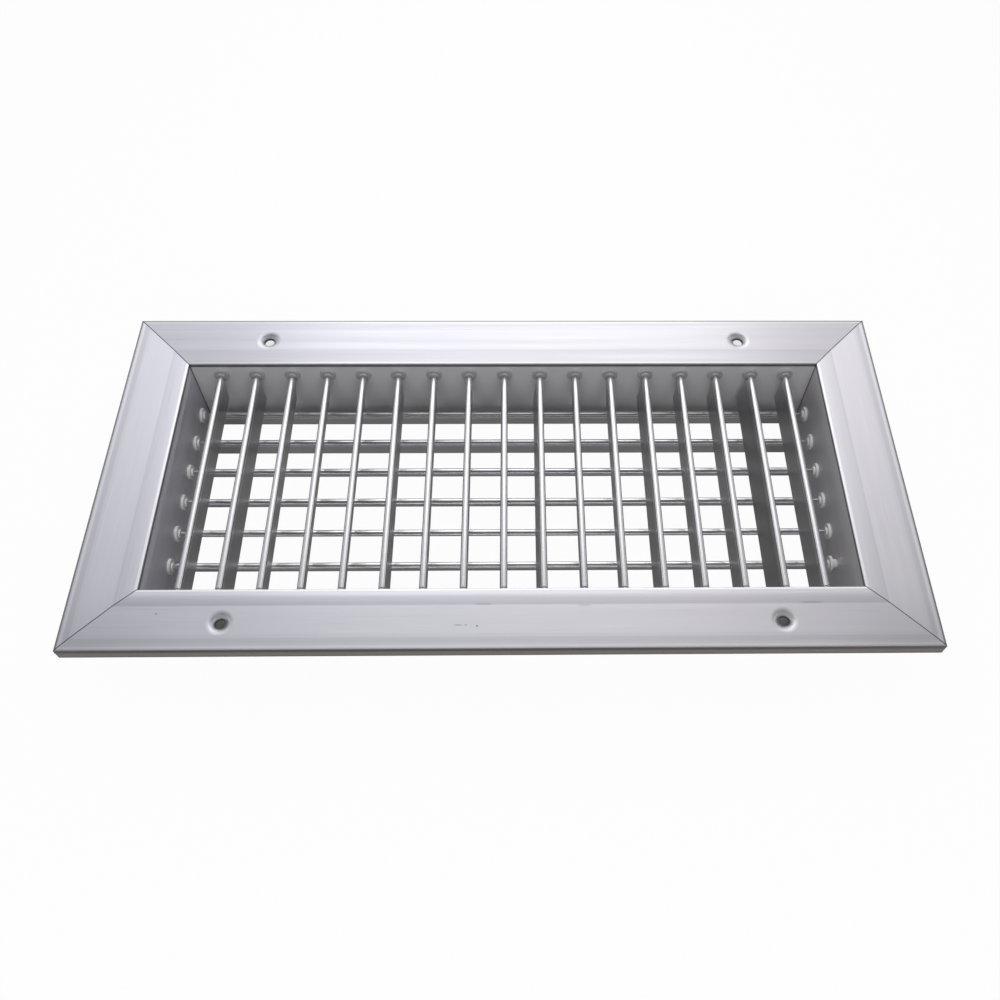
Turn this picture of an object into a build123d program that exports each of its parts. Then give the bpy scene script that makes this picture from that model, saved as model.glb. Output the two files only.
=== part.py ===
# Double-deflection supply air grille: a mitred aluminium frame with hand-set front and rear blades.
# Millimetres. +X runs along the long side, +Y up the wall it is fixed to, +Z out of its face.
# It lies on the rear rim of its collar, and the origin is at the middle of that rim's plane.
import os
from math import cos, radians, sin, sqrt

from build123d import *

os.makedirs("parts", exist_ok=True)

# Frame, overall
OPENING_LENGTH = 338.0     # clear opening inside the collar, along X
OPENING_WIDTH = 135.0      # clear opening inside the collar, along Y
FLANGE_WIDTH = 31.0        # from the collar's inner face to the outer edge
GRILLE_DEPTH = 51.0        # from the rear rim to the flat of the flange
MITRE_GAP = 0.16           # hairline between two rails at a corner

# Section of the rail
FLANGE_WALL = 1.4
COLLAR_WALL = 1.4
LIP_WALL = 1.4
LIP_DEPTH = 7.7            # from the flat of the flange to the lip's lower edge
BAND_WIDTH = 8.7           # sloping band beside the opening
BAND_FALL = 1.2
BAND_BLEND = 22.0          # radius that eases the band into the flat
ROLL_WIDTH = 6.8           # rolled-over outer margin
ROLL_FALL = 0.5
INNER_EDGE_RADIUS = 1.1
OUTER_EDGE_RADIUS = 0.6

# Slot for the corner keys, behind the flat of the flange
SLOT_INSET = 10.2          # from the collar's inner face to the slot
SLOT_WIDTH = 12.6
SLOT_HEIGHT = 2.2
SLOT_RIB = 1.2
HOOK_REACH = 1.2
HOOK_WALL = 1.0
KEY_CLEARANCE = 0.1
KEY_LEG = 30.0             # reach of each leg from the corner of its key

# Dimpled screw holes in the long flanges
SCREW_SPACING = 256.4
SCREW_INSET_TOP = 14.9     # from the outer edge, as punched
SCREW_INSET_BOTTOM = 13.3
SCREW_HOLE = 5.0
DIMPLE_DIAMETER = 12.6     # where the soft mouth leaves the flat
DIMPLE_DEPTH = 1.9         # from the flat to the hole's rim
DIMPLE_STEEP = 66.0        # slope at the hole's rim, in degrees
DIMPLE_WALL = 1.0

# Blades
FRONT_COUNT = 17
REAR_COUNT = 7
FRONT_END_SPACE = 15.4     # from the collar to the first front blade's axis
REAR_END_SPACE = 9.9
BLADE_NOSE = 3.4           # diameter of the rounded nose, which turns on the pins
BLADE_REACH = 15.8         # from the pivot to the middle of the tail's edge
BLADE_TAIL = 1.0           # thickness of the tail
FRONT_AXIS_DEPTH = 9.3     # below the flat of the flange
REAR_AXIS_DEPTH = 32.8
FRONT_END_GAP = 4.0        # from a front blade's end to the collar
REAR_END_GAP = 7.0

# Set angles, in degrees, each blade turned by hand; the tail goes towards +X, or +Y on the rear blades
FRONT_SET = [1, 6, -3, -6.5, -5, 4, 0.5, 2.5, -6, -10.5, -2, -3, -10, -6, -7, -17.5, -9]
REAR_SET = [22, 20.5, 28.5, 24.5, 26, 16, 20]

# How far each rear blade has slid along its axis, and how far its right-hand bush is drawn out of the wall
REAR_SLIDE = [0, -3.2, 0, 0, 0, 0, 0]
BUSH_DRAWN = [0, 2.4, 0, 0, 0, 0, 0]

# Pins and bushes
PIN_DIAMETER = 2.0
PIN_SEAT = 10.0            # depth of a pin in its blade
PIN_STAND = 1.0            # how far a pin's end stands out behind the collar
PIN_FIT = 0.01             # radial, pin in blade
RUNNING_FIT = 0.05         # radial, pin in bush
BUSH_DISC = 8.4
BUSH_DISC_WALL = 1.3
BUSH_HUB = 4.4
BUSH_HUB_HEIGHT = 0.9
BUSH_EDGE_RADIUS = 0.35    # moulded edge of the disc and the hub
BUSH_SPIGOT = 5.0
BUSH_SPIGOT_STAND = 3.0    # how far the spigot stands out behind the collar
SPIGOT_FIT = 0.05          # radial, spigot in collar

# Worked-out places
HALF_LENGTH = OPENING_LENGTH / 2
HALF_WIDTH = OPENING_WIDTH / 2
FRONT_AXIS_Z = GRILLE_DEPTH - FRONT_AXIS_DEPTH
REAR_AXIS_Z = GRILLE_DEPTH - REAR_AXIS_DEPTH
SLOT_TOP = -FLANGE_WALL
SLOT_FLOOR = SLOT_TOP - SLOT_HEIGHT


def blade_places(span, count, end_space):
    """Axis offsets of a row of blades, evenly spaced across an opening."""
    pitch = (span - 2 * end_space) / (count - 1)
    return [(i - (count - 1) / 2) * pitch for i in range(count)]


FRONT_X = blade_places(OPENING_LENGTH, FRONT_COUNT, FRONT_END_SPACE)
REAR_Y = blade_places(OPENING_WIDTH, REAR_COUNT, REAR_END_SPACE)


def rail_section(plane):
    """Rail section: x outward from the collar's inner face, y up from the flat of the flange."""
    roll_start = FLANGE_WIDTH - ROLL_WIDTH
    roll_radius = (ROLL_WIDTH**2 + ROLL_FALL**2) / (2 * ROLL_FALL)
    under_radius = roll_radius - FLANGE_WALL
    lip_inside = FLANGE_WIDTH - LIP_WALL
    under_fall = under_radius - sqrt(under_radius**2 - (lip_inside - roll_start) ** 2)
    band_under = BAND_FALL * (1 - COLLAR_WALL / BAND_WIDTH)
    slot_end = SLOT_INSET + SLOT_WIDTH
    with BuildSketch(plane) as section:
        with BuildLine():
            Polyline(
                (roll_start, -FLANGE_WALL),
                (BAND_WIDTH, -FLANGE_WALL),
                (COLLAR_WALL, -FLANGE_WALL - band_under),
                (COLLAR_WALL, -GRILLE_DEPTH),
                (0, -GRILLE_DEPTH),
                (0, -BAND_FALL),
                (BAND_WIDTH, 0),
                (roll_start, 0),
            )
            TangentArc((roll_start, 0), (FLANGE_WIDTH, -ROLL_FALL), tangent=(1, 0))
            Polyline(
                (FLANGE_WIDTH, -ROLL_FALL),
                (FLANGE_WIDTH, -LIP_DEPTH),
                (lip_inside, -LIP_DEPTH),
                (lip_inside, -FLANGE_WALL - under_fall),
            )
            TangentArc(
                (roll_start, -FLANGE_WALL), (lip_inside, -FLANGE_WALL - under_fall), tangent=(1, 0)
            )
        make_face()
        fillet(section.vertices().sort_by_distance((BAND_WIDTH, 0))[0], BAND_BLEND)
        fillet(section.vertices().sort_by_distance((0, -BAND_FALL))[0], INNER_EDGE_RADIUS)
        fillet(section.vertices().sort_by_distance((FLANGE_WIDTH, -ROLL_FALL))[0], OUTER_EDGE_RADIUS)
        # Hooked ribs either side of the key slot
        with BuildLine():
            Polyline(
                (SLOT_INSET - SLOT_RIB, SLOT_TOP),
                (SLOT_INSET - SLOT_RIB, SLOT_FLOOR - HOOK_WALL),
                (SLOT_INSET + HOOK_REACH, SLOT_FLOOR - HOOK_WALL),
                (SLOT_INSET + HOOK_REACH, SLOT_FLOOR),
                (SLOT_INSET, SLOT_FLOOR),
                (SLOT_INSET, SLOT_TOP),
                close=True,
            )
        make_face()
        with BuildLine():
            Polyline(
                (slot_end + SLOT_RIB, SLOT_TOP),
                (slot_end + SLOT_RIB, SLOT_FLOOR - HOOK_WALL),
                (slot_end - HOOK_REACH, SLOT_FLOOR - HOOK_WALL),
                (slot_end - HOOK_REACH, SLOT_FLOOR),
                (slot_end, SLOT_FLOOR),
                (slot_end, SLOT_TOP),
                close=True,
            )
        make_face()
    return section.sketch


def rail_planes(outward, half_span, half_run):
    """Section plane of a rail and the two mitre planes at its ends."""
    along = outward.cross(Vector(0, 0, 1))
    section = Plane(outward * half_span + Vector(0, 0, GRILLE_DEPTH), x_dir=outward, z_dir=along)
    mitres = []
    for end in (along, -along):
        normal = (end - outward).normalized()
        corner = outward * half_span + end * half_run
        mitres.append(Plane(corner - normal * MITRE_GAP / 2, z_dir=normal))
    return section, mitres


def bush_planes(outward, half_span, places, height):
    """Planes on a collar's inner face, one for each bush, looking into the opening."""
    along = Vector(0, 0, 1).cross(outward)
    base = outward * half_span + Vector(0, 0, height)
    side = 1 if along.X + along.Y > 0 else -1
    return [Plane(base + along * side * p, x_dir=(0, 0, 1), z_dir=-outward) for p in places]


TOP = Vector(0, 1, 0)
BOTTOM = Vector(0, -1, 0)
LEFT = Vector(-1, 0, 0)
RIGHT = Vector(1, 0, 0)

RAILS = {
    "frame_top": (TOP, HALF_WIDTH, HALF_LENGTH, FRONT_X, FRONT_AXIS_Z),
    "frame_bottom": (BOTTOM, HALF_WIDTH, HALF_LENGTH, FRONT_X, FRONT_AXIS_Z),
    "frame_left": (LEFT, HALF_LENGTH, HALF_WIDTH, REAR_Y, REAR_AXIS_Z),
    "frame_right": (RIGHT, HALF_LENGTH, HALF_WIDTH, REAR_Y, REAR_AXIS_Z),
}

# Frame: four lengths of one extrusion, mitred, punched for the bushes and dimpled for the screws
for name, (outward, half_span, half_run, places, height) in RAILS.items():
    section_plane, mitre_planes = rail_planes(outward, half_span, half_run)
    with BuildPart() as rail:
        extrude(rail_section(section_plane), amount=half_run + FLANGE_WIDTH, both=True)
        for mitre in mitre_planes:
            split(bisect_by=mitre, keep=Keep.BOTTOM)
        with BuildSketch(*bush_planes(outward, half_span, places, height)):
            Circle(BUSH_SPIGOT / 2 + SPIGOT_FIT)
        extrude(amount=-COLLAR_WALL, mode=Mode.SUBTRACT)
        if outward.X == 0:
            inset = SCREW_INSET_TOP if outward.Y > 0 else SCREW_INSET_BOTTOM
            screw_y = outward.Y * (half_span + FLANGE_WIDTH - inset)
            hole_r, dimple_r = SCREW_HOLE / 2, DIMPLE_DIAMETER / 2
            foot = -DIMPLE_DEPTH - DIMPLE_WALL
            mouth = ((-1, 0), (-cos(radians(DIMPLE_STEEP)), -sin(radians(DIMPLE_STEEP))))
            for x in (-SCREW_SPACING / 2, SCREW_SPACING / 2):
                turn = Plane((x, screw_y, GRILLE_DEPTH), x_dir=(1, 0, 0), z_dir=(0, -1, 0))
                spindle = Axis((x, screw_y, 0), (0, 0, 1))
                # Metal pushed down around the hole, then the mouth and the hole cut out of it
                with BuildSketch(turn):
                    with BuildLine():
                        boss_r = hole_r + DIMPLE_WALL
                        Polyline((boss_r, foot), (0, foot), (0, 0), (dimple_r, 0), (dimple_r, -FLANGE_WALL))
                        Spline((dimple_r, -FLANGE_WALL), (boss_r, foot), tangents=mouth)
                    make_face()
                revolve(axis=spindle)
                with BuildSketch(turn):
                    with BuildLine():
                        Polyline((hole_r, -DIMPLE_DEPTH), (hole_r, foot), (0, foot), (0, 0), (dimple_r, 0))
                        Spline((dimple_r, 0), (hole_r, -DIMPLE_DEPTH), tangents=mouth)
                    make_face()
                revolve(axis=spindle, mode=Mode.SUBTRACT)
    rail.part.label = name
    export_step(rail.part, f"parts/{name}.step")

# Corner keys: an L-shaped plate in the slots of each pair of rails
with BuildPart() as keys:
    slot_middle = SLOT_INSET + SLOT_WIDTH / 2
    key_width = SLOT_WIDTH - 2 * KEY_CLEARANCE
    key_x, key_y = HALF_LENGTH + slot_middle, HALF_WIDTH + slot_middle
    reach = KEY_LEG - key_width / 2
    with BuildSketch(Plane.XY.offset(GRILLE_DEPTH + SLOT_FLOOR + KEY_CLEARANCE)):
        for sx, sy in ((1, 1), (-1, 1), (-1, -1), (1, -1)):
            with Locations((sx * (key_x - reach / 2), sy * key_y)):
                Rectangle(reach + key_width, key_width)
            with Locations((sx * key_x, sy * (key_y - reach / 2))):
                Rectangle(key_width, reach + key_width)
    extrude(amount=SLOT_HEIGHT - 2 * KEY_CLEARANCE)
keys.part.label = "corner_keys"
export_step(keys.part, "parts/corner_keys.step")

# Bushes: a moulded disc and hub on the collar's inner face, with a spigot through the wall
for name, rail_name in (
    ("front_bushes_top", "frame_top"),
    ("front_bushes_bottom", "frame_bottom"),
    ("rear_bushes_left", "frame_left"),
    ("rear_bushes_right", "frame_right"),
):
    outward, half_span, half_run, places, height = RAILS[rail_name]
    planes = bush_planes(outward, half_span, places, height)
    if name == "rear_bushes_right":
        planes = [p.offset(BUSH_DRAWN[n % len(BUSH_DRAWN)]) for n, p in enumerate(planes)]
    spigot_length = COLLAR_WALL + BUSH_SPIGOT_STAND
    with BuildPart() as bushes:
        with BuildSketch(*planes):
            Circle(BUSH_DISC / 2)
        extrude(amount=BUSH_DISC_WALL)
        with BuildSketch(*planes):
            Circle(BUSH_HUB / 2)
        extrude(amount=BUSH_DISC_WALL + BUSH_HUB_HEIGHT)
        rims = bushes.edges().filter_by(GeomType.CIRCLE).filter_by(
            lambda e: any(
                abs(p.to_local_coords(e.center()).Z - rise) < 0.01 and abs(e.radius - radius) < 0.01
                for p in planes
                for radius, rise in (
                    (BUSH_DISC / 2, BUSH_DISC_WALL),
                    (BUSH_HUB / 2, BUSH_DISC_WALL + BUSH_HUB_HEIGHT),
                )
            )
        )
        fillet(rims, BUSH_EDGE_RADIUS)
        with BuildSketch(*planes):
            Circle(BUSH_SPIGOT / 2)
        extrude(amount=-spigot_length)
        with BuildSketch(*[p.offset(-spigot_length) for p in planes]):
            Circle(PIN_DIAMETER / 2 + RUNNING_FIT)
        extrude(amount=spigot_length + BUSH_DISC_WALL + BUSH_HUB_HEIGHT, mode=Mode.SUBTRACT)
    bushes.part.label = name
    export_step(bushes.part, f"parts/{name}.step")


def blade_and_pins(blade_name, pins_name, plane, half_blade, half_span):
    """One drop-section blade, bored at both ends, and its two pivot pins."""
    with BuildPart() as blade:
        with BuildSketch(plane):
            Circle(BLADE_NOSE / 2)
            with Locations((0, -BLADE_REACH)):
                Circle(BLADE_TAIL / 2)
            make_hull()
        extrude(amount=half_blade, both=True)
        for end in (1, -1):
            with BuildSketch(plane.offset(end * (half_blade - PIN_SEAT))):
                Circle(PIN_DIAMETER / 2 + PIN_FIT)
            extrude(amount=end * PIN_SEAT, mode=Mode.SUBTRACT)
    blade.part.label = blade_name
    export_step(blade.part, f"parts/{blade_name}.step")

    pin_end = half_span + COLLAR_WALL + PIN_STAND
    with BuildPart() as pins:
        for end in (1, -1):
            with BuildSketch(plane.offset(end * (half_blade - PIN_SEAT))):
                Circle(PIN_DIAMETER / 2)
            extrude(amount=end * (pin_end - half_blade + PIN_SEAT))
    pins.part.label = pins_name
    export_step(pins.part, f"parts/{pins_name}.step")


# Front blades run up the grille, numbered from the left
for n, x in enumerate(FRONT_X):
    turn = radians(FRONT_SET[n % len(FRONT_SET)])
    turned = Plane((x, 0, FRONT_AXIS_Z), x_dir=(-cos(turn), 0, -sin(turn)), z_dir=(0, 1, 0))
    blade_and_pins(
        f"front_blade_{n + 1:02d}",
        f"front_pins_{n + 1:02d}",
        turned,
        HALF_WIDTH - FRONT_END_GAP,
        HALF_WIDTH,
    )

# Rear blades run along the grille, numbered from the bottom
for n, y in enumerate(REAR_Y):
    turn = radians(REAR_SET[n % len(REAR_SET)])
    middle = (REAR_SLIDE[n % len(REAR_SLIDE)], y, REAR_AXIS_Z)
    turned = Plane(middle, x_dir=(0, cos(turn), sin(turn)), z_dir=(1, 0, 0))
    blade_and_pins(
        f"rear_blade_{n + 1}",
        f"rear_pins_{n + 1}",
        turned,
        HALF_LENGTH - REAR_END_GAP,
        HALF_LENGTH,
    )
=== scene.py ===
# Looks of the supply air grille: satin extruded aluminium, nylon bushes, bright pins, white studio.
# Metres, in the frame of the CAD model. +Z is out of the face, and the grille lies on its rear rim.
import math

import bpy
from mathutils import Matrix, Vector


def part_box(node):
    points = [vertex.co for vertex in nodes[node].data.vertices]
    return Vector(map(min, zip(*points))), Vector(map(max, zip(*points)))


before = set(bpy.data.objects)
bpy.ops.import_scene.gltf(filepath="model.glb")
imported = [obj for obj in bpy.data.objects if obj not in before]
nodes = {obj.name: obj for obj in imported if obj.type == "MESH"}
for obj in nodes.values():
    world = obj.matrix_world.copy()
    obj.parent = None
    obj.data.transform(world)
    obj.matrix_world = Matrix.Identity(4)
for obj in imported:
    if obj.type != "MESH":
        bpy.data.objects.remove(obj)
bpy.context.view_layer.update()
scene = bpy.context.scene
scene.view_settings.view_transform = "Standard"

# Sizes the looks follow, read from the model
TOP_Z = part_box("frame_top")[1].z
HALF_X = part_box("frame_right")[1].x
HALF_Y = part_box("frame_top")[1].y
OPEN_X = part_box("frame_right")[0].x
OPEN_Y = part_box("frame_top")[0].y
FLANGE = HALF_X - OPEN_X

# Lines across a rail's face, from the collar's inner face outwards
EDGE_LINE = 0.0009  # painted highlight along the inner edge
BAND_LINE = 0.0087  # outer edge of the band that leans into the opening
BAND_FOOT = 0.0098  # where that lean has faded out
ROLL_LINE = 0.0242  # where the face starts to roll over to the lip
STRIP_LINE = 0.0265  # strip of painted shade on the roll
LIP_DEPTH = 0.0077  # bottom edge of the outer lip, below the face

# Screw holes, from the middle of the grille: along it, down to the near pair and up to the far pair
SCREW_X, SCREW_NEAR, SCREW_FAR = 0.1282, 0.0852, 0.0836

# Half width of the change from the near rail's looks to the far rail's, in the empty middle
SPLIT = 0.001

# Marks on the near flange: x, inset from its outer edge, half length, half width, strength
MARKS = (
    (-0.0205, 0.0115, 0.0024, 0.0003, 0.60),
    (-0.0170, 0.0115, 0.0010, 0.0003, 0.45),
    (-0.0119, 0.0110, 0.0006, 0.0006, 0.75),
    (-0.1576, 0.0178, 0.0006, 0.0005, 0.55),
    (-0.0094, 0.0220, 0.0050, 0.0006, 0.22),
    (0.0374, 0.0212, 0.0040, 0.0006, 0.20),
    (0.1420, 0.0222, 0.0070, 0.0007, 0.24),
)

# Colours of the rails
COOL_METAL, WARM_METAL = (0.735, 0.735, 0.80, 1), (0.76, 0.745, 0.77, 1)
PALE_BAND, DIE_LINE = (0.82, 0.82, 0.85, 1), (0.54, 0.54, 0.57, 1)
PALE_STREAK, DARK_STREAK = (0.88, 0.88, 0.90, 1), (0.50, 0.50, 0.53, 1)
# Painted shade on the band and in faint lines at its creases
BAND_SHADE, SLOPE_SHADE_LINE = (0.40, 0.40, 0.43, 1), (0.40, 0.40, 0.42, 1)
# Painted highlights, on the roll and along the inner edge
ROLL_HIGHLIGHT, GLINT = (0.95, 0.95, 0.97, 1), (0.97, 0.97, 0.99, 1)
# Painted shade on the lip, darkest along its edges
LIP_SHADE, LIP_EDGE_SHADE = (0.41, 0.38, 0.35, 1), (0.11, 0.095, 0.085, 1)
# Painted shade, on the near corners and on the faces under the flange
CORNER_SHADE, UNDERSIDE_SHADE = (0.30, 0.30, 0.32, 1), (0.46, 0.46, 0.465, 1)
# Painted light on the inner faces of the long walls
WALL_PAINTED_LIGHT = (0.84, 0.83, 0.83, 1)
# Painted shade under the inner edge, and dark hairlines at the mitres
CREASE_SHADE, MITRE = (0.10, 0.10, 0.105, 1), (0.09, 0.09, 0.095, 1)
# Scuffs and specks on the near flange, and painted shade in the screw holes' bores
MARK, HOLE_SHADE = (0.16, 0.15, 0.15, 1), (0.10, 0.10, 0.11, 1)

# Colours of the other pieces
# Blade flanks, painted darker than the noses as painted shade
SHADED_FLANK_DARK, SHADED_FLANK_PALE = (0.44, 0.44, 0.45, 1), (0.52, 0.52, 0.53, 1)
BLADE_LINE = (0.50, 0.50, 0.52, 1)
KEY_DARK, KEY_PALE = (0.58, 0.58, 0.59, 1), (0.70, 0.70, 0.71, 1)
PIN_DARK, PIN_PALE = (0.84, 0.84, 0.85, 1), (0.94, 0.94, 0.94, 1)
# The front bushes' nylon is painted darker than the rear bushes', as painted shade
SHADED_FRONT_NYLON = (0.40, 0.40, 0.41, 1), (0.52, 0.52, 0.53, 1)
REAR_NYLON = (0.92, 0.92, 0.91, 1), (0.97, 0.97, 0.96, 1)
NYLON_IOR = 1.53

# Brightness of the blades' noses; the rear noses are painted lighter, as painted light
FRONT_NOSE, REAR_NOSE = 0.74, 0.92

# How rough every noise is from one octave to the next
NOISE_ROUGHNESS = 0.55

# How metallic the rails are, and how much less so on the inner faces of the long walls, which are painted
# lighter
RAIL_METALLIC, WALL_METALLIC_DROP = 0.88, -0.80

# Floor: how far it reaches, how far it lies below the grille, and its colours
FLOOR_REACH, FLOOR_DROP = 5.0, 0.0002
PAPER_DARK, PAPER_PALE = (0.60, 0.60, 0.60, 1), (0.64, 0.64, 0.64, 1)
# Paper as reflections see it: painted darker, and darkest round the frame, as painted shade
MIRRORED_PAPER_SHADE, SHADED_PAPER = (0.24, 0.21, 0.18, 1), (0.05, 0.045, 0.04, 1)
SEEN_WHITE = 0.97

# Colours of the world
ROOM, COVE = (0.97, 0.97, 1.0, 1), (1, 1, 1, 1)

# Soft lamps: name, place, the point it faces, two sides, watts, and whether the metal mirrors it.
# The two fills are there for the nylon and the matt inner walls.
LAMPS = (
    ("back_softbox", (0.01, 0.35, 0.28), (0.01, 0.31, 0.0), 0.40, 0.50, 0.50, True),
    ("top_fill", (0.0, -0.05, 0.80), (0.0, 0.0, 0.0), 0.7, 0.5, 2.0, False),
    ("front_fill", (0.0, -0.60, 0.45), (0.0, 0.07, 0.03), 0.6, 0.4, 1.7, False),
)

# Camera fitted to the photograph: its place, tilt, yaw and roll in degrees, and the lens in pixels
CAMERA_PLACE = (0.0054, -0.2758, TOP_Z + 0.4011)
CAMERA_ANGLES = (57.65, 1.67, 1.22)
PHOTO_PX, FOCAL_PX, CENTRE_PX = 1000, 971.2, (530.0, 503.1)
SENSOR_MM = 36.0


# ---------------------------------------------------------------- node helpers
class Tree:
    """Small wrapper that adds nodes and links to a node tree."""

    def __init__(self, tree):
        self.tree = tree
        tree.nodes.clear()

    def add(self, kind, **props):
        node = self.tree.nodes.new(kind)
        for key, value in props.items():
            setattr(node, key, value)
        return node

    def put(self, value, socket):
        """Link another node's output to a socket, or set the socket to a plain value."""
        if hasattr(value, "is_output"):
            self.tree.links.new(value, socket)
        else:
            socket.default_value = value

    def math(self, op, a, b=0.0, c=0.0, clamp=False):
        node = self.add("ShaderNodeMath", operation=op, use_clamp=clamp)
        for value, socket in zip((a, b, c), node.inputs):
            self.put(value, socket)
        return node.outputs[0]

    def plus(self, a, b):
        return self.math("ADD", a, b)

    def minus(self, a, b):
        return self.math("SUBTRACT", a, b)

    def times(self, a, b):
        return self.math("MULTIPLY", a, b)

    def times_plus(self, a, b, c):
        return self.math("MULTIPLY_ADD", a, b, c)

    def most(self, a, b):
        return self.math("MAXIMUM", a, b)

    def size(self, a):
        return self.math("ABSOLUTE", a)

    def apart(self, a, b):
        return self.size(self.minus(a, b))

    def squares(self, a, b):
        return self.plus(self.math("POWER", a, 2.0), self.math("POWER", b, 2.0))

    def smooth(self, value, low, high, to_low=0.0, to_high=1.0):
        """A soft step from to_low to to_high, as the value goes from low to high."""
        node = self.add("ShaderNodeMapRange", interpolation_type="SMOOTHSTEP")
        for index, given in enumerate((value, low, high, to_low, to_high)):
            self.put(given, node.inputs[index])
        return node.outputs[0]

    def mix(self, factor, a, b):
        node = self.add("ShaderNodeMix", data_type="RGBA")
        self.put(factor, node.inputs["Factor"])
        self.put(a, node.inputs[6])
        self.put(b, node.inputs[7])
        return node.outputs[2]

    def mix_shader(self, factor, a, b):
        node = self.add("ShaderNodeMixShader")
        for index, given in enumerate((factor, a.outputs[0], b.outputs[0])):
            self.put(given, node.inputs[index])
        return node

    def place(self):
        return self.add("ShaderNodeTexCoord").outputs["Object"]

    def parts(self, vector):
        node = self.add("ShaderNodeSeparateXYZ")
        self.put(vector, node.inputs[0])
        return node.outputs

    def stretched(self, vector, scale, offset=(0.0, 0.0, 0.0)):
        node = self.add("ShaderNodeMapping")
        self.put(vector, node.inputs["Vector"])
        node.inputs["Scale"].default_value = scale
        node.inputs["Location"].default_value = offset
        return node.outputs[0]

    def noise(self, vector, scale=1.0, detail=3.0):
        node = self.add("ShaderNodeTexNoise")
        self.put(vector, node.inputs["Vector"])
        node.inputs["Scale"].default_value = scale
        node.inputs["Detail"].default_value = detail
        node.inputs["Roughness"].default_value = NOISE_ROUGHNESS
        return node.outputs["Fac"]

    def bump(self, height, strength, distance, over=None):
        node = self.add("ShaderNodeBump")
        if over is not None:
            self.put(over, node.inputs["Normal"])
        node.inputs["Strength"].default_value = strength
        node.inputs["Distance"].default_value = distance
        self.put(height, node.inputs["Height"])
        return node.outputs[0]

    def surface(self, **sockets):
        shader = self.add("ShaderNodeBsdfPrincipled")
        for key, value in sockets.items():
            self.put(value, shader.inputs[key.replace("_", " ")])
        self.finish("ShaderNodeOutputMaterial", shader)

    def finish(self, kind, shader):
        self.put(shader.outputs[0], self.add(kind).inputs["Surface"])


def new_material(name):
    material = bpy.data.materials.new(name)
    material.use_nodes = True
    return material, Tree(material.node_tree)


def middle_z(name):
    low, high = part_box(name)
    return (low.z + high.z) / 2


def dress(names, material):
    for name in names:
        data = nodes[name].data
        data.materials.clear()
        data.materials.append(material)


# ---------------------------------------------------------------- rails
class Rail:
    """The places on a rail that its looks follow, and its colour, laid on coat by coat."""

    def __init__(self, tree, along_x):
        self.t, self.along_x = tree, along_x
        self.place = tree.place()
        self.x, self.y, self.z = tree.parts(self.place)
        self.ax, self.ay = tree.size(self.x), tree.size(self.y)
        self.out_x, self.out_y = tree.minus(self.ax, OPEN_X), tree.minus(self.ay, OPEN_Y)
        self.outward = self.out_y if along_x else self.out_x
        self.near = self.near_to_far(1.0, 0.0)
        self.lines = self.drawn(6.0, 1400.0)
        self.bands = self.drawn(5.0, 260.0)
        self.tint = None

    def near_to_far(self, near, far):
        return self.t.smooth(self.y, -SPLIT, SPLIT, near, far)

    def by_depth(self, deep, shallow, to_deep=0.0, to_shallow=1.0):
        """A soft step between two depths below the face."""
        return self.t.smooth(self.z, TOP_Z - deep, TOP_Z - shallow, to_deep, to_shallow)

    def drawn(self, along, across, offset=(0.0, 0.0, 0.0)):
        """Noise drawn out along the rail, as the die leaves it."""
        scale = (along, across, across) if self.along_x else (across, along, across)
        return self.t.noise(self.t.stretched(self.place, scale, offset), detail=2.0)

    def across(self, low, high, to_low=0.0, to_high=1.0):
        """A soft step between two lines along the rail."""
        return self.t.smooth(self.outward, low, high, to_low, to_high)

    def line(self, middle, core, reach, strength):
        """A line along the rail, at full strength in its core and faded out at its reach."""
        return self.t.smooth(self.t.apart(self.outward, middle), core, reach, strength, 0.0)

    def coat(self, strength, colour):
        self.tint = self.t.mix(strength, self.tint, colour)


def lay_metal(rail):
    """Satin metal, a little warmer to the right, with lines and streaks along the rail."""
    t = rail.t
    streaks = rail.drawn(22.0, 650.0, (3.1, 1.7, 0.4))
    cloud = t.times(t.noise(rail.place, scale=14.0), 0.6)
    hue = t.math("ADD", t.smooth(rail.x, -0.16, 0.16, -0.2, 0.6), cloud, clamp=True)
    rail.tint = t.mix(hue, COOL_METAL, WARM_METAL)
    rail.coat(t.smooth(rail.bands, 0.42, 0.70, 0.0, 0.30), PALE_BAND)
    rail.coat(t.smooth(rail.lines, 0.58, 0.78, 0.0, 0.09), DIE_LINE)
    rail.coat(t.smooth(streaks, 0.60, 0.72, 0.0, 0.22), PALE_STREAK)
    rail.coat(t.smooth(streaks, 0.28, 0.38, 0.13, 0.0), DARK_STREAK)


def lay_face(rail):
    """Painted shade on the band, darkest at its outer edge, on a strip of the roll, and in faint lines at
    its creases.
    """
    t = rail.t
    band = rail.across(0.0025, 0.0085, 0.02, 0.30 if rail.along_x else 0.18)
    band = t.times(band, rail.across(BAND_LINE, BAND_LINE + 0.0012, 1.0, 0.0))
    strip = rail.line(STRIP_LINE, 0.0006, 0.0021, 0.24)
    if rail.along_x:
        # Less of both painted shades on the far rail
        band = t.times(band, rail.near_to_far(1.0, 0.4))
        strip = t.times(strip, rail.near)
    rail.coat(t.plus(band, strip), BAND_SHADE)
    # Faint lines of painted shade at the band's outer crease and where the roll starts
    for middle, strength in ((BAND_LINE, 0.09), (ROLL_LINE, 0.08)):
        rail.coat(rail.line(middle, 0.0, 0.0008, strength), SLOPE_SHADE_LINE)


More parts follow.
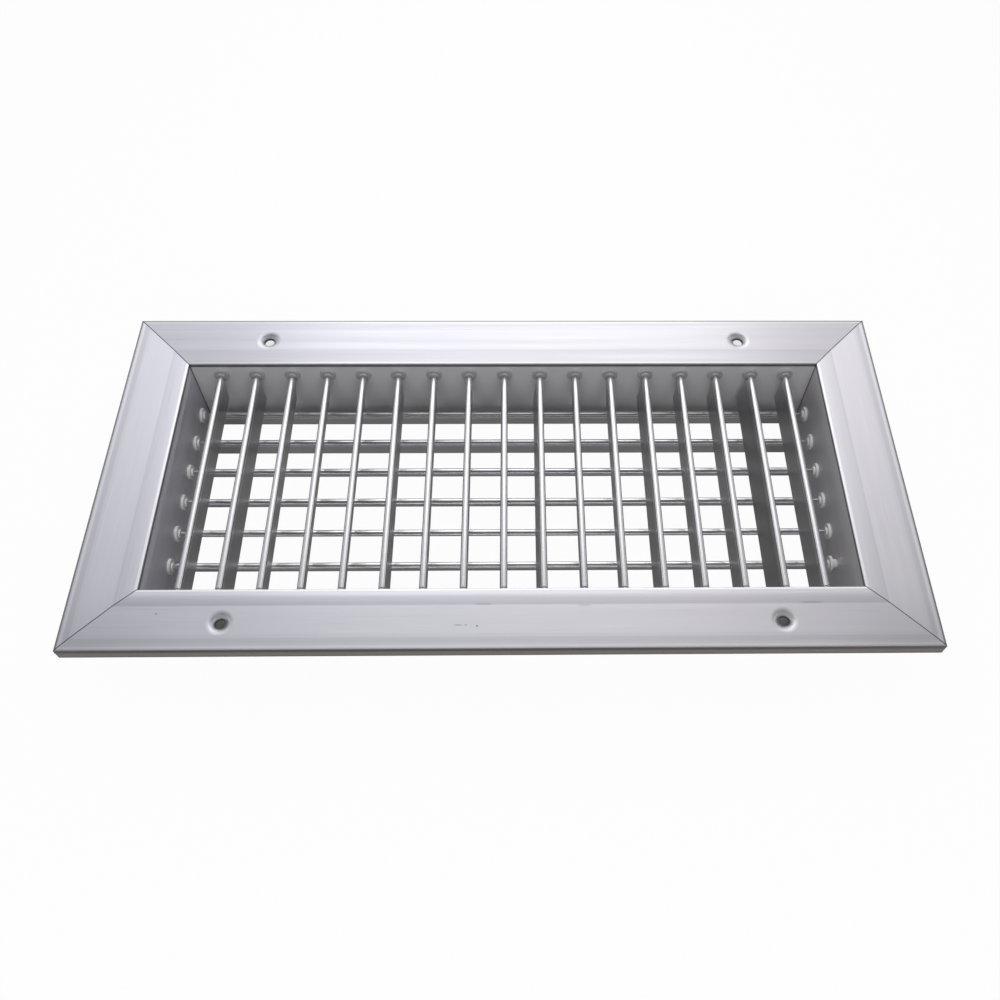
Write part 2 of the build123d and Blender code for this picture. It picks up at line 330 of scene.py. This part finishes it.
def lay_lip(rail):
    """A painted highlight on the roll, and painted shade on the lip, brownish and darkest along its two
    edges.
    """
    t = rail.t
    inset, strength = (0.0014, 0.8) if rail.along_x else (0.0023, 0.5)
    # Painted highlight along the roll
    rail.coat(rail.line(FLANGE - inset, 0.0, 0.0010, strength), ROLL_HIGHLIGHT)
    rim = rail.across(FLANGE - 0.0015, FLANGE - 0.0006)
    if rail.along_x:
        # The near rail's lip gets the painted shade only at its very edge
        edge = rail.across(FLANGE - 0.0003, FLANGE - 0.0001)
        rim = t.times(rim, t.most(edge, t.minus(1.0, rail.near)))
    # Painted shade on the lip, darkest along its upper and lower edges
    upper = rail.by_depth(0.0036, 0.0024)
    lower = rail.by_depth(LIP_DEPTH, LIP_DEPTH - 0.0012, 1.0, 0.0)
    rail.coat(t.times(rim, 0.8), t.mix(t.most(upper, lower), LIP_SHADE, LIP_EDGE_SHADE))


def lay_painted_shade_and_light(rail):
    """Painted shade on the near corners and on the faces under the flange, and painted light on the
    matt inner faces of the long walls. Gives the strength of that painted light."""
    t = rail.t
    # Painted shade on the near corners
    corner = t.times(t.smooth(rail.ax, 0.135, 0.195), t.smooth(rail.y, -0.098, -0.062, 0.22, 0.0))
    rail.coat(corner, CORNER_SHADE)
    # Painted shade on the faces under the flange
    behind = t.times(rail.across(0.0006, 0.0012), rail.across(FLANGE - 0.0012, FLANGE - 0.0008, 1.0, 0.0))
    hidden = t.times(rail.by_depth(0.0016, 0.0012, 1.0, 0.0), behind)
    rail.coat(t.times(hidden, 0.7), UNDERSIDE_SHADE)
    if not rail.along_x:
        return 0.0
    # Painted light on the inner faces of the long walls, which are also made less metallic
    painted_wall_light = t.times(rail.across(0.0004, 0.0010, 0.75, 0.0), rail.by_depth(0.0036, 0.0026, 1.0, 0.0))
    rail.coat(painted_wall_light, WALL_PAINTED_LIGHT)
    return painted_wall_light


def lay_edges(rail):
    """A painted highlight along the inner edge with a painted shade line under it, and dark hairlines
    where two rails meet.
    """
    t = rail.t
    # Painted highlight along the inner edge
    glint = rail.line(EDGE_LINE, 0.0002, 0.0009, 0.85)
    rail.coat(t.times(glint, rail.by_depth(0.0030, 0.0024)), GLINT)
    # Painted shade line just under the inner edge
    crease = rail.across(0.0001, 0.0004, 0.78, 0.0)
    rail.coat(t.times(crease, rail.by_depth(0.0036, 0.0028)), CREASE_SHADE)
    rail.coat(t.smooth(t.apart(rail.out_x, rail.out_y), 0.0002, 0.0005, 0.8, 0.0), MITRE)


def lay_marks(rail):
    """The few scuffs and specks on the near flange."""
    t = rail.t
    for mark_x, inset, half_long, half_wide, strength in MARKS:
        from_x = t.math("DIVIDE", t.minus(rail.x, mark_x), half_long)
        from_y = t.math("DIVIDE", t.plus(rail.y, HALF_Y - inset), half_wide)
        rail.coat(t.smooth(t.squares(from_x, from_y), 0.3, 1.0, strength, 0.0), MARK)


def lay_holes(rail):
    """Painted shade in the bores of the screw holes. Gives the distance from the nearest hole's middle.
    """
    t = rail.t
    from_x = t.minus(rail.ax, SCREW_X)
    from_y = t.minus(rail.ay, rail.near_to_far(SCREW_NEAR, SCREW_FAR))
    round_hole = t.math("SQRT", t.squares(from_x, from_y))
    rail.coat(t.smooth(round_hole, 0.0025, 0.0028, 0.8, 0.0), HOLE_SHADE)
    return round_hole


def rail_material(name, along_x):
    """Satin extruded aluminium of two of the rails, which bends gently where the solid has flats."""
    material, t = new_material(name)
    rail = Rail(t, along_x)
    lay_metal(rail)
    lay_face(rail)
    lay_lip(rail)
    painted_wall_light = lay_painted_shade_and_light(rail)
    lay_edges(rail)
    # The middle of the band leans less than its inner edge
    lean = rail.across(0.0, BAND_FOOT, 0.0, -0.0008)
    if along_x:
        late = rail.across(0.0028, BAND_FOOT, 0.0, -0.0007)
        lean = t.times_plus(rail.near, t.minus(late, lean), lean)
        lean = t.plus(lean, rail.across(ROLL_LINE, FLANGE, 0.0, 0.0002))
        lay_marks(rail)
        # Drawn metal round the screw holes
        lean = t.plus(lean, t.smooth(lay_holes(rail), 0.0024, 0.0054, -0.0007, 0.0))
    grain = t.noise(rail.place, scale=2600.0, detail=1.0)
    height = t.times_plus(rail.lines, 0.6, t.times(grain, 0.4))
    drawn = t.add("ShaderNodeTangent", direction_type="RADIAL", axis="X" if along_x else "Y")
    t.surface(
        Base_Color=rail.tint,
        Metallic=t.times_plus(painted_wall_light, WALL_METALLIC_DROP, RAIL_METALLIC) if along_x else RAIL_METALLIC,
        Roughness=t.smooth(rail.bands, 0.3, 0.75, 0.42, 0.52),
        Anisotropic=0.6,
        Tangent=drawn.outputs[0],
        Normal=t.bump(height, 0.12, 0.00004, t.bump(lean, 1.0, 1.0)),
    )
    return material


# ---------------------------------------------------------------- other pieces
def blade_material(name, along_x, axis_z, nose):
    """Extruded aluminium: a bright rounded nose and flanks painted darker as painted shade, with fine
    lines along the blade.
    """
    material, t = new_material(name)
    place = t.place()
    scale = (4.0, 1500.0, 1500.0) if along_x else (1500.0, 4.0, 1500.0)
    lines = t.noise(t.stretched(place, scale), detail=2.0)
    cloud = t.noise(place, scale=40.0)
    nose_dark = (nose - 0.04, nose - 0.04, nose - 0.02, 1)
    nose_pale = (nose + 0.04, nose + 0.04, nose + 0.06, 1)
    # Flanks painted darker than the nose, as painted shade
    shaded_flank = t.smooth(t.parts(place)[2], axis_z - 0.0022, axis_z - 0.0004, 0.85, 0.0)
    tint = t.mix(shaded_flank, t.mix(cloud, nose_dark, nose_pale), t.mix(cloud, SHADED_FLANK_DARK, SHADED_FLANK_PALE))
    t.surface(
        Base_Color=t.mix(t.smooth(lines, 0.55, 0.8, 0.0, 0.06), tint, BLADE_LINE),
        Metallic=1.0,
        Roughness=t.times_plus(shaded_flank, 0.14, t.smooth(lines, 0.3, 0.7, 0.23, 0.29)),
        Normal=t.bump(lines, 0.02, 0.00004),
    )
    return material


def key_material():
    """Dull mill aluminium of the corner keys, with tumbling marks."""
    material, t = new_material("mill_aluminium")
    spots = t.noise(t.place(), scale=500.0, detail=4.0)
    t.surface(
        Base_Color=t.mix(spots, KEY_DARK, KEY_PALE),
        Metallic=1.0,
        Roughness=t.smooth(spots, 0.3, 0.7, 0.38, 0.52),
        Normal=t.bump(spots, 0.15, 0.00005),
    )
    return material


def pin_material():
    """Bright drawn steel, faintly mottled."""
    material, t = new_material("drawn_steel")
    mottle = t.noise(t.place(), scale=900.0, detail=2.0)
    t.surface(
        Base_Color=t.mix(mottle, PIN_DARK, PIN_PALE),
        Metallic=1.0,
        Roughness=t.smooth(mottle, 0.3, 0.7, 0.12, 0.22),
    )
    return material


def bush_material(name, dark, pale):
    """Natural nylon: slightly see-through, softly mottled."""
    material, t = new_material(name)
    mottle = t.noise(t.place(), scale=420.0)
    t.surface(
        Base_Color=t.mix(mottle, dark, pale),
        Roughness=t.smooth(mottle, 0.3, 0.7, 0.28, 0.42),
        Normal=t.bump(mottle, 0.10, 0.0001),
        IOR=NYLON_IOR,
        Transmission_Weight=0.02,
        Subsurface_Weight=0.12,
        Subsurface_Radius=(0.0012, 0.0012, 0.0011),
        Subsurface_Scale=1.0,
    )
    return material


# ---------------------------------------------------------------- floor, light and camera
def make_floor():
    """Plain pale floor, white to the eye, that keeps the grille's soft shadow."""
    mesh = bpy.data.meshes.new("floor")
    r, low = FLOOR_REACH, -FLOOR_DROP
    mesh.from_pydata([(-r, -r, low), (r, -r, low), (r, r, low), (-r, r, low)], [], [(0, 1, 2, 3)])
    floor = bpy.data.objects.new("floor", mesh)
    scene.collection.objects.link(floor)
    material, t = new_material("floor_paper")
    place = t.place()
    x, y, _ = t.parts(place)
    ax, ay = t.size(x), t.size(y)
    rays = t.add("ShaderNodeLightPath").outputs
    glossy = rays["Is Glossy Ray"]
    # Reflections see white far off, a faint glow of painted light on the paper under the opening, dimmer
    # by the side walls, and none round the frame
    beyond = t.most(t.minus(ax, HALF_X), t.minus(ay, HALF_Y))
    within = t.most(t.minus(ax, OPEN_X), t.minus(ay, OPEN_Y))
    middle = t.smooth(t.minus(OPEN_X, ax), 0.012, 0.035)
    level = t.times_plus(middle, t.smooth(y, -0.02, 0.045, 0.03, 0.08), 0.09)
    through = t.times(t.smooth(within, -0.003, 0.001, 1.0, 0.0), level)
    pale = t.most(through, t.smooth(beyond, 0.10, 0.5))
    paper = t.mix(t.noise(place, scale=300.0), PAPER_DARK, PAPER_PALE)
    # In reflections the paper is painted darker, as painted shade
    paper = t.mix(t.times(glossy, 0.55), paper, MIRRORED_PAPER_SHADE)
    # Darkest under the flange, where the frame keeps the light off
    ring = t.times(t.smooth(within, -0.002, 0.002), t.smooth(beyond, -0.02, 0.04, 0.65, 0.0))
    paper = t.mix(t.times(glossy, ring), paper, SHADED_PAPER)
    diffuse = t.add("ShaderNodeBsdfDiffuse")
    t.put(paper, diffuse.inputs["Color"])
    # The far flange shades the paper behind it, which shows through its screw holes
    shade = t.times(t.smooth(y, OPEN_Y + 0.002, OPEN_Y + 0.006),
                    t.smooth(y, HALF_Y + 0.026, HALF_Y + 0.042, 0.45, 0.0))
    shade = t.times(shade, t.smooth(ax, HALF_X - 0.04, HALF_X, 1.0, 0.0))
    seen = t.times(rays["Is Camera Ray"], t.minus(1.0, shade))
    seen = t.most(seen, rays["Is Transmission Ray"])
    seen = t.most(seen, t.times(glossy, pale))
    white = t.add("ShaderNodeEmission")
    t.finish("ShaderNodeOutputMaterial", t.mix_shader(t.times(seen, SEEN_WHITE), diffuse, white))
    mesh.materials.append(material)


def make_world():
    """Soft room light, brighter behind the grille and dim in front, in a white cove all round."""
    world = bpy.data.worlds.new("studio")
    scene.world = world
    world.use_nodes = True
    t = Tree(world.node_tree)
    x, y, z = t.parts(t.add("ShaderNodeTexCoord").outputs["Generated"])
    level = t.plus(t.smooth(y, -0.35, 0.45, 0.11, 0.56), t.smooth(y, 0.4, 0.8, 0.0, 0.72))
    level = t.times(level, t.smooth(t.size(x), 0.42, 0.80, 1.0, 0.55))
    room = t.add("ShaderNodeBackground")
    room.inputs["Color"].default_value = ROOM
    t.put(level, room.inputs["Strength"])
    cove = t.add("ShaderNodeBackground")
    cove.inputs["Color"].default_value = COVE
    # The cove shows to the eye, and low down to the metal, but lights nothing else
    rays = t.add("ShaderNodeLightPath").outputs
    seen = t.most(rays["Is Camera Ray"], rays["Is Transmission Ray"])
    mirrored = t.times(rays["Is Glossy Ray"], t.smooth(z, 0.15, 0.45, 1.0, 0.0))
    t.finish("ShaderNodeOutputWorld", t.mix_shader(t.most(seen, mirrored), room, cove))


def add_softbox(name, place, target, size_x, size_y, power, mirrored):
    data = bpy.data.lights.new(name, "AREA")
    data.shape = "RECTANGLE"
    data.size, data.size_y = size_x, size_y
    data.energy = power
    lamp = bpy.data.objects.new(name, data)
    scene.collection.objects.link(lamp)
    lamp.location = place
    lamp.rotation_euler = (Vector(target) - Vector(place)).to_track_quat("-Z", "Y").to_euler()
    lamp.visible_camera = False
    lamp.visible_glossy = mirrored


def make_camera():
    """Camera at the photograph's place, from the fitted view of the frame's corners."""
    tilt, yaw, roll = (math.radians(a) for a in CAMERA_ANGLES)
    look = Vector((math.sin(yaw) * math.cos(tilt), math.cos(yaw) * math.cos(tilt), -math.sin(tilt)))
    right = Vector((math.cos(yaw), -math.sin(yaw), 0))
    up = right.cross(look)
    across = right * math.cos(roll) + up * math.sin(roll)
    above = up * math.cos(roll) - right * math.sin(roll)
    data = bpy.data.cameras.new("camera")
    data.sensor_width = SENSOR_MM
    data.lens = FOCAL_PX * SENSOR_MM / PHOTO_PX
    data.shift_x = (PHOTO_PX / 2 - CENTRE_PX[0]) / PHOTO_PX
    data.shift_y = (CENTRE_PX[1] - PHOTO_PX / 2) / PHOTO_PX
    data.clip_start, data.clip_end = 0.01, 50
    camera = bpy.data.objects.new("camera", data)
    scene.collection.objects.link(camera)
    turn = Matrix((across, above, -look)).transposed()
    camera.matrix_world = Matrix.Translation(CAMERA_PLACE) @ turn.to_4x4()
    scene.camera = camera


# ---------------------------------------------------------------- the scene
def named(start):
    return [name for name in nodes if name.startswith(start)]


dress(["frame_top", "frame_bottom"], rail_material("rail_long", True))
dress(["frame_left", "frame_right"], rail_material("rail_short", False))
dress(named("front_blade_"), blade_material("blade_front", False, middle_z("front_pins_01"), FRONT_NOSE))
dress(named("rear_blade_"), blade_material("blade_rear", True, middle_z("rear_pins_1"), REAR_NOSE))
dress(named("front_pins_") + named("rear_pins_"), pin_material())
# The front bushes get the darker nylon, as painted shade
dress(named("front_bushes_"), bush_material("nylon_front_shaded", *SHADED_FRONT_NYLON))
dress(named("rear_bushes_"), bush_material("nylon_rear", *REAR_NYLON))
dress(["corner_keys"], key_material())
make_floor()
make_world()
for lamp in LAMPS:
    add_softbox(*lamp)
make_camera()
